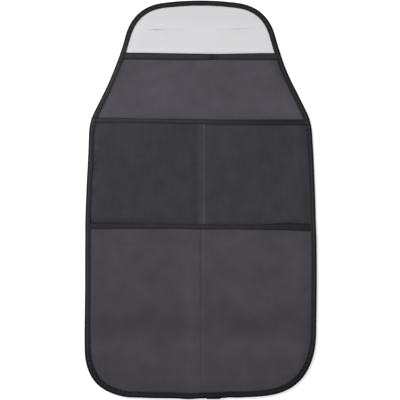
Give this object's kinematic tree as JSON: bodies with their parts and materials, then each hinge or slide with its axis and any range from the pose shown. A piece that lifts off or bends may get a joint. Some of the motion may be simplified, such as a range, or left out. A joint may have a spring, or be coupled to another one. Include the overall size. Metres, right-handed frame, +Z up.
{
  "type": "car seat kick mat",
  "caption": "Flat fabric mat that covers the back of a car seat, with a mesh pocket, a cloth pocket, a frosted slit top panel and a folded tape binding.",
  "frame": {"origin": "on the surface that the mat lies on, under the middle of its bounding box", "axes": "+X across the mat, +Y along it from the bottom edge to the top edge, +Z up out of its front face"},
  "size_m": [0.407, 0.6995, 0.0125],
  "materials": {
    "frosted_film": "frosted",
    "upper_cloth": "woven",
    "pocket_mesh": "open mesh",
    "lower_cloth": "woven",
    "hem_tape": "ribbed tape",
    "binding_tape": "ribbed tape"
  },
  "bodies": {
    "root": {"top_panel": "frosted_film", "main_panel": "upper_cloth", "join_tape": "hem_tape", "mesh_pocket": "pocket_mesh", "mesh_pocket_hem": "hem_tape", "lower_pocket": "lower_cloth", "lower_pocket_hem": "hem_tape", "edge_binding": "binding_tape"}
  },
  "joints": []
}
